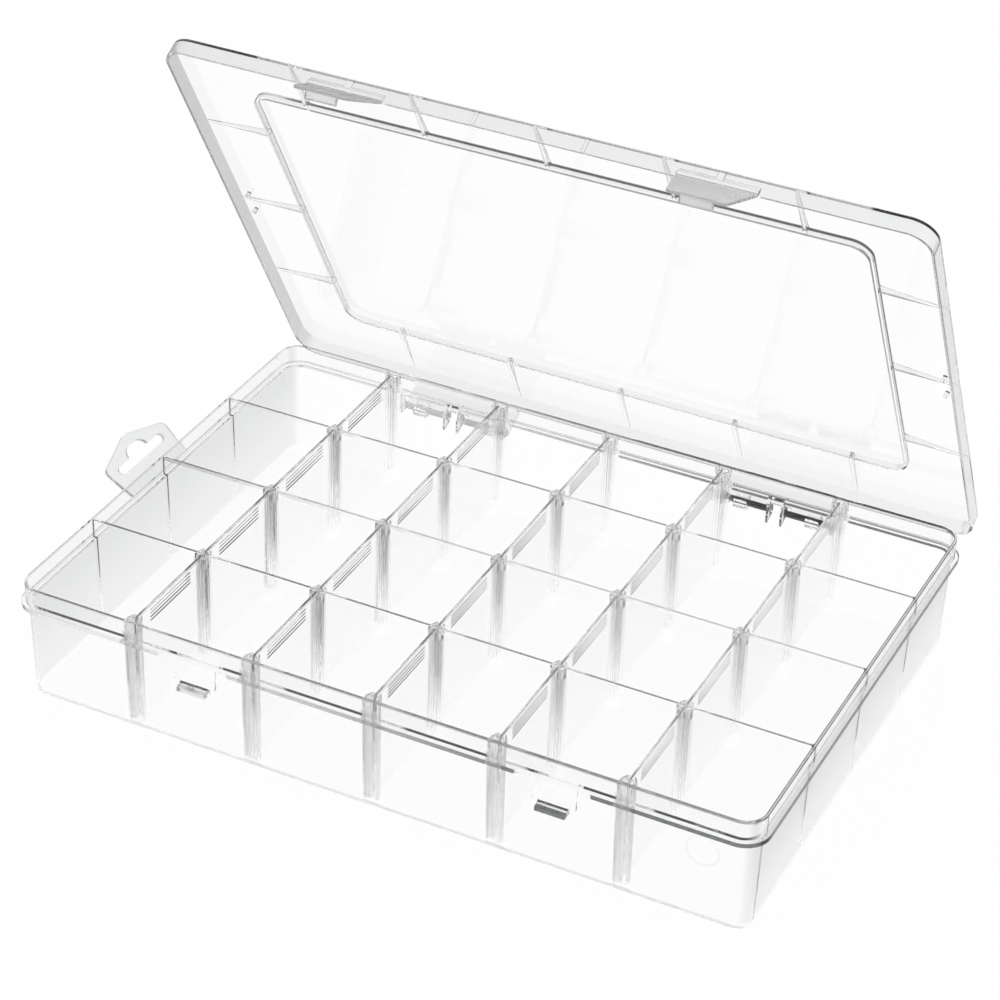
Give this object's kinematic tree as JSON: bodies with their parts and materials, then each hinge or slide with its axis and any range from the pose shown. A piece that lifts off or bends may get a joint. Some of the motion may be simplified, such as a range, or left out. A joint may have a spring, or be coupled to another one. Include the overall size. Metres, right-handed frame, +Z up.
{
  "type": "compartment storage box",
  "caption": "Shallow clear plastic organizer box with a grid of small compartments, removable dividers, a hinged lid with two snap latches and a fold-up hang tab.",
  "frame": {"origin": "centre of the tray's underside", "axes": "+X along the long side, to the right as seen from the latches; +Y from the latches to the hinges; +Z up"},
  "size_m": [0.3524, 0.249, 0.2538],
  "materials": {
    "clear_shell": "clear, glossy",
    "clear_divider": "clear, slightly frosted"
  },
  "bodies": {
    "tray": {"tray": "clear_shell"},
    "lid": {"lid": "clear_shell"},
    "latch_left": {"latch_left": "clear_shell"},
    "latch_right": {"latch_right": "clear_shell"},
    "hang_tab": {"hang_tab": "clear_shell"},
    "divider_r1_c1": {"divider_r1_c1": "clear_divider"},
    "divider_r1_c2": {"divider_r1_c2": "clear_divider"},
    "divider_r1_c3": {"divider_r1_c3": "clear_divider"},
    "divider_r1_c4": {"divider_r1_c4": "clear_divider"},
    "divider_r1_c5": {"divider_r1_c5": "clear_divider"},
    "divider_r2_c1": {"divider_r2_c1": "clear_divider"},
    "divider_r2_c2": {"divider_r2_c2": "clear_divider"},
    "divider_r2_c3": {"divider_r2_c3": "clear_divider"},
    "divider_r2_c4": {"divider_r2_c4": "clear_divider"},
    "divider_r2_c5": {"divider_r2_c5": "clear_divider"},
    "divider_r3_c1": {"divider_r3_c1": "clear_divider"},
    "divider_r3_c2": {"divider_r3_c2": "clear_divider"},
    "divider_r3_c3": {"divider_r3_c3": "clear_divider"},
    "divider_r3_c4": {"divider_r3_c4": "clear_divider"},
    "divider_r3_c5": {"divider_r3_c5": "clear_divider"},
    "divider_r4_c1": {"divider_r4_c1": "clear_divider"},
    "divider_r4_c2": {"divider_r4_c2": "clear_divider"},
    "divider_r4_c3": {"divider_r4_c3": "clear_divider"},
    "divider_r4_c4": {"divider_r4_c4": "clear_divider"},
    "divider_r4_c5": {"divider_r4_c5": "clear_divider"}
  },
  "joints": [
    {"name": "lid_hinge", "type": "hinge", "parent": "tray", "child": "lid", "pos_m": [0, 0.1164, 0.037], "axis": [-1, 0, 0], "range_deg": [-60.5, 59]},
    {"name": "latch_left_flex", "type": "hinge", "parent": "lid", "child": "latch_left", "pos_m": [-0.0805, 0.01162, 0.24485], "axis": [-1, 0, 0], "range_deg": [-47, 37], "stiffness_Nm_per_rad": 0.01},
    {"name": "latch_right_flex", "type": "hinge", "parent": "lid", "child": "latch_right", "pos_m": [0.0805, 0.01162, 0.24485], "axis": [-1, 0, 0], "range_deg": [-35, 49], "stiffness_Nm_per_rad": 0.01},
    {"name": "hang_tab_fold", "type": "hinge", "parent": "tray", "child": "hang_tab", "pos_m": [-0.1678, 0.0005, 0.0451], "axis": [0, 1, 0], "range_deg": [-39, 40]},
    {"name": "divider_r1_c1_lift", "type": "slide", "parent": "tray", "child": "divider_r1_c1", "axis": [0, 0, 1], "range_m": [0, 0.056]},
    {"name": "divider_r1_c2_lift", "type": "slide", "parent": "tray", "child": "divider_r1_c2", "axis": [0, 0, 1], "range_m": [0, 0.056]},
    {"name": "divider_r1_c3_lift", "type": "slide", "parent": "tray", "child": "divider_r1_c3", "axis": [0, 0, 1], "range_m": [0, 0.056]},
    {"name": "divider_r1_c4_lift", "type": "slide", "parent": "tray", "child": "divider_r1_c4", "axis": [0, 0, 1], "range_m": [0, 0.056]},
    {"name": "divider_r1_c5_lift", "type": "slide", "parent": "tray", "child": "divider_r1_c5", "axis": [0, 0, 1], "range_m": [0, 0.056]},
    {"name": "divider_r2_c1_lift", "type": "slide", "parent": "tray", "child": "divider_r2_c1", "axis": [0, 0, 1], "range_m": [0, 0.056]},
    {"name": "divider_r2_c2_lift", "type": "slide", "parent": "tray", "child": "divider_r2_c2", "axis": [0, 0, 1], "range_m": [0, 0.056]},
    {"name": "divider_r2_c3_lift", "type": "slide", "parent": "tray", "child": "divider_r2_c3", "axis": [0, 0, 1], "range_m": [0, 0.056]},
    {"name": "divider_r2_c4_lift", "type": "slide", "parent": "tray", "child": "divider_r2_c4", "axis": [0, 0, 1], "range_m": [0, 0.056]},
    {"name": "divider_r2_c5_lift", "type": "slide", "parent": "tray", "child": "divider_r2_c5", "axis": [0, 0, 1], "range_m": [0, 0.056]},
    {"name": "divider_r3_c1_lift", "type": "slide", "parent": "tray", "child": "divider_r3_c1", "axis": [0, 0, 1], "range_m": [0, 0.056]},
    {"name": "divider_r3_c2_lift", "type": "slide", "parent": "tray", "child": "divider_r3_c2", "axis": [0, 0, 1], "range_m": [0, 0.056]},
    {"name": "divider_r3_c3_lift", "type": "slide", "parent": "tray", "child": "divider_r3_c3", "axis": [0, 0, 1], "range_m": [0, 0.056]},
    {"name": "divider_r3_c4_lift", "type": "slide", "parent": "tray", "child": "divider_r3_c4", "axis": [0, 0, 1], "range_m": [0, 0.056]},
    {"name": "divider_r3_c5_lift", "type": "slide", "parent": "tray", "child": "divider_r3_c5", "axis": [0, 0, 1], "range_m": [0, 0.056]},
    {"name": "divider_r4_c1_lift", "type": "slide", "parent": "tray", "child": "divider_r4_c1", "axis": [0, 0, 1], "range_m": [0, 0.032]},
    {"name": "divider_r4_c2_lift", "type": "slide", "parent": "tray", "child": "divider_r4_c2", "axis": [0, 0, 1], "range_m": [0, 0.032]},
    {"name": "divider_r4_c3_lift", "type": "slide", "parent": "tray", "child": "divider_r4_c3", "axis": [0, 0, 1], "range_m": [0, 0.032]},
    {"name": "divider_r4_c4_lift", "type": "slide", "parent": "tray", "child": "divider_r4_c4", "axis": [0, 0, 1], "range_m": [0, 0.032]},
    {"name": "divider_r4_c5_lift", "type": "slide", "parent": "tray", "child": "divider_r4_c5", "axis": [0, 0, 1], "range_m": [0, 0.032]}
  ]
}
